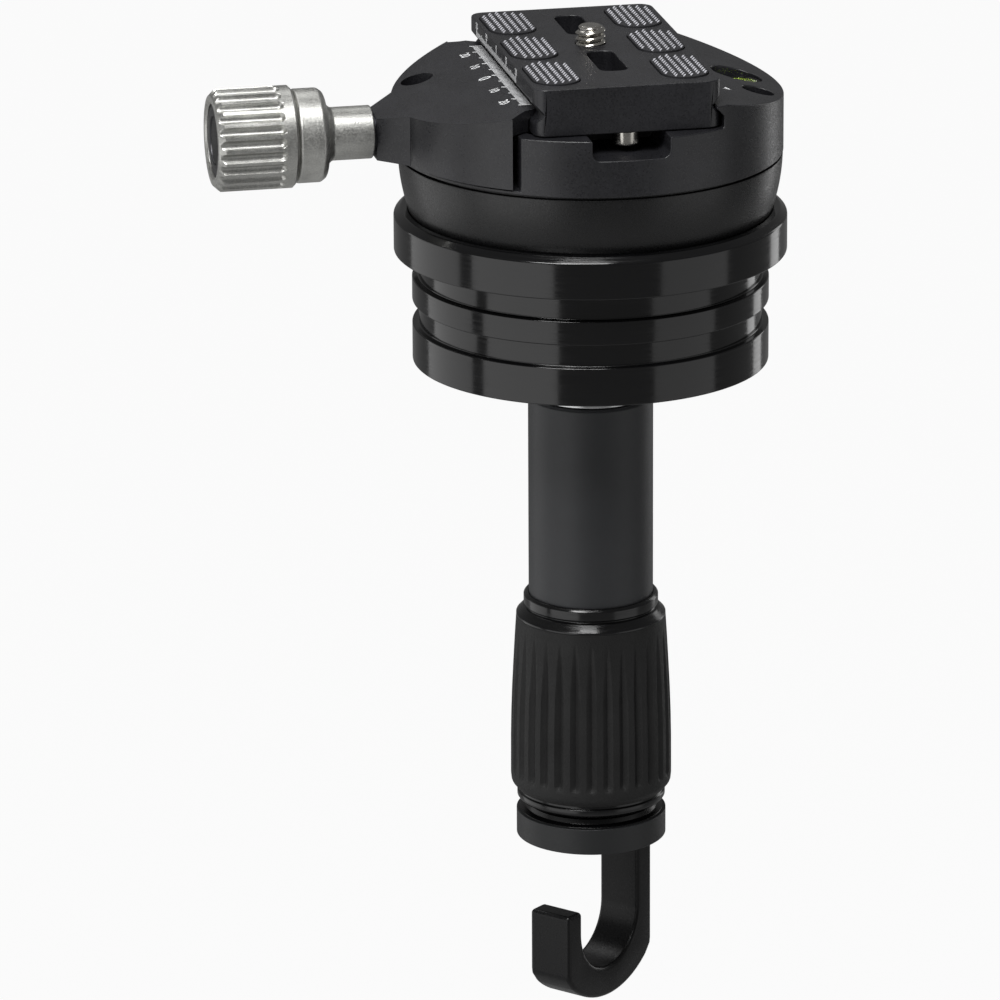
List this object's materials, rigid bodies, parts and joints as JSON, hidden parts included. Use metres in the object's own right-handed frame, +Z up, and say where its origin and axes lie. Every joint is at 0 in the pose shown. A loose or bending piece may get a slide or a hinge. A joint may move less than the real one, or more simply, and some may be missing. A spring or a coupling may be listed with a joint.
{
  "type": "tripod levelling head",
  "caption": "Half-ball tripod levelling head with a flanged bowl, twist-lock column with a ballast hook, and a dovetail quick-release clamp with plate.",
  "frame": {"origin": "centre of the levelling bowl's foot, in the plane of its lowest rim, on the column's axis", "axes": "+Z up along the column towards the camera screw, +X towards the fixed jaw with its level vial, the clamping knob points along -X"},
  "size_m": [0.1222, 0.083, 0.2153],
  "materials": {
    "levelling_bowl": "gloss black anodised, turned",
    "bowl_liner": "low-friction liner",
    "washer_pad": "low-friction pad",
    "pressure_washer": "bright machined",
    "half_ball": "satin black anodised",
    "core_rod": "ground",
    "rod_nut": "zinc plated",
    "centre_bolt": "zinc plated",
    "body_screws": "black oxide",
    "locating_pins": "ground",
    "clamp_body": "fine-textured satin black anodised",
    "thread_insert": "turned",
    "vial_case": "gloss black",
    "vial_glass": "clear",
    "vial_fluid": "yellow-green spirit",
    "vial_bubble": "air",
    "pivot_screw": "zinc plated",
    "pivot_washer": "zinc plated",
    "column_tube": "matte charcoal anodised",
    "tube_bush": "acetal",
    "thrust_washer": "bearing bronze",
    "grip_core": "turned",
    "grip_collar": "satin black",
    "grip_sleeve": "moulded, matte",
    "grip_end_ring": "satin black",
    "end_cap": "satin black",
    "cap_neck": "satin black",
    "ballast_hook": "fine-textured black",
    "moving_jaw": "fine-textured satin black anodised",
    "guide_pins": "ground",
    "jaw_set_screw": "black oxide",
    "jaw_springs": "spring steel",
    "clamp_screw": "rolled thread",
    "knob_hub": "bead-blasted satin",
    "knob_sleeve": "bead-blasted satin",
    "knob_plug": "matte black",
    "knob_washer": "bearing bronze",
    "quick_release_plate": "fine-textured satin black anodised",
    "plate_pads": "ribbed rubber",
    "stop_screws": "bright zinc",
    "camera_screw": "bright stainless",
    "screw_retainer": "spring steel"
  },
  "bodies": {
    "bowl": {"levelling_bowl": "levelling_bowl"},
    "seat_ring": {"bowl_liner": "bowl_liner"},
    "thrust_cup": {"pressure_washer": "pressure_washer", "washer_pad": "washer_pad"},
    "column": {"half_ball": "half_ball", "core_rod": "core_rod", "rod_nut": "rod_nut", "centre_bolt": "centre_bolt", "body_screws": "body_screws", "locating_pins": "locating_pins", "clamp_body": "clamp_body", "thread_insert": "thread_insert", "vial_case": "vial_case", "vial_glass": "vial_glass", "vial_fluid": "vial_fluid", "vial_bubble": "vial_bubble", "pivot_screw": "pivot_screw", "pivot_washer": "pivot_washer", "jaw_springs": "jaw_springs"},
    "tube": {"column_tube": "column_tube", "tube_bush": "tube_bush", "thrust_washer": "thrust_washer"},
    "grip": {"grip_core": "grip_core", "grip_collar": "grip_collar", "grip_sleeve": "grip_sleeve", "grip_end_ring": "grip_end_ring"},
    "hook": {"end_cap": "end_cap", "cap_neck": "cap_neck", "ballast_hook": "ballast_hook"},
    "jaw": {"moving_jaw": "moving_jaw", "guide_pins": "guide_pins", "jaw_set_screw": "jaw_set_screw"},
    "knob": {"clamp_screw": "clamp_screw", "knob_hub": "knob_hub", "knob_sleeve": "knob_sleeve", "knob_plug": "knob_plug", "knob_washer": "knob_washer"},
    "plate": {"quick_release_plate": "quick_release_plate", "plate_pads": "plate_pads", "stop_screws": "stop_screws"},
    "camera_screw": {"camera_screw": "camera_screw", "screw_retainer": "screw_retainer"}
  },
  "joints": [
    {"name": "ball_swivel", "type": "hinge", "parent": "bowl", "child": "seat_ring", "pos_m": [0, 0, 0.046], "axis": [0, 0, 1], "continuous": true},
    {"name": "ball_tilt", "type": "hinge", "parent": "seat_ring", "child": "thrust_cup", "pos_m": [0, 0, 0.046], "axis": [1, 0, 0], "range_deg": [-12.5, 12.5]},
    {"name": "ball_spin", "type": "hinge", "parent": "thrust_cup", "child": "column", "pos_m": [0, 0, 0.046], "axis": [0, 0, 1], "continuous": true},
    {"name": "tube_slide", "type": "slide", "parent": "column", "child": "tube", "axis": [0, 0, 1], "range_m": [-0.00075, 0]},
    {"name": "grip_twist", "type": "hinge", "parent": "tube", "child": "grip", "pos_m": [0, 0, -0.0775], "axis": [0, 0, 1], "range_deg": [-180, 0]},
    {"name": "hook_swivel", "type": "hinge", "parent": "column", "child": "hook", "pos_m": [0, 0, -0.104], "axis": [0, 0, 1], "continuous": true},
    {"name": "jaw_slide", "type": "slide", "parent": "column", "child": "jaw", "axis": [-1, 0, 0], "range_m": [0, 0.0045], "deforming": ["jaw_springs"]},
    {"name": "knob_turn", "type": "hinge", "parent": "jaw", "child": "knob", "pos_m": [-0.06, 0, 0.0518], "axis": [-1, 0, 0], "range_deg": [0, 1620]},
    {"name": "plate_slide", "type": "slide", "parent": "column", "child": "plate", "axis": [0, 1, 0], "range_m": [-0.0026, 0.005]},
    {"name": "camera_screw_turn", "type": "hinge", "parent": "plate", "child": "camera_screw", "pos_m": [0.0005, 0.002, 0.0678], "axis": [0, 0, 1], "continuous": true}
  ],
  "couplings": [
    {"joint": "grip_twist", "follows": "tube_slide", "rad_per_m": 4188.7},
    {"joint": "knob_turn", "follows": "jaw_slide", "rad_per_m": 6283.1}
  ]
}
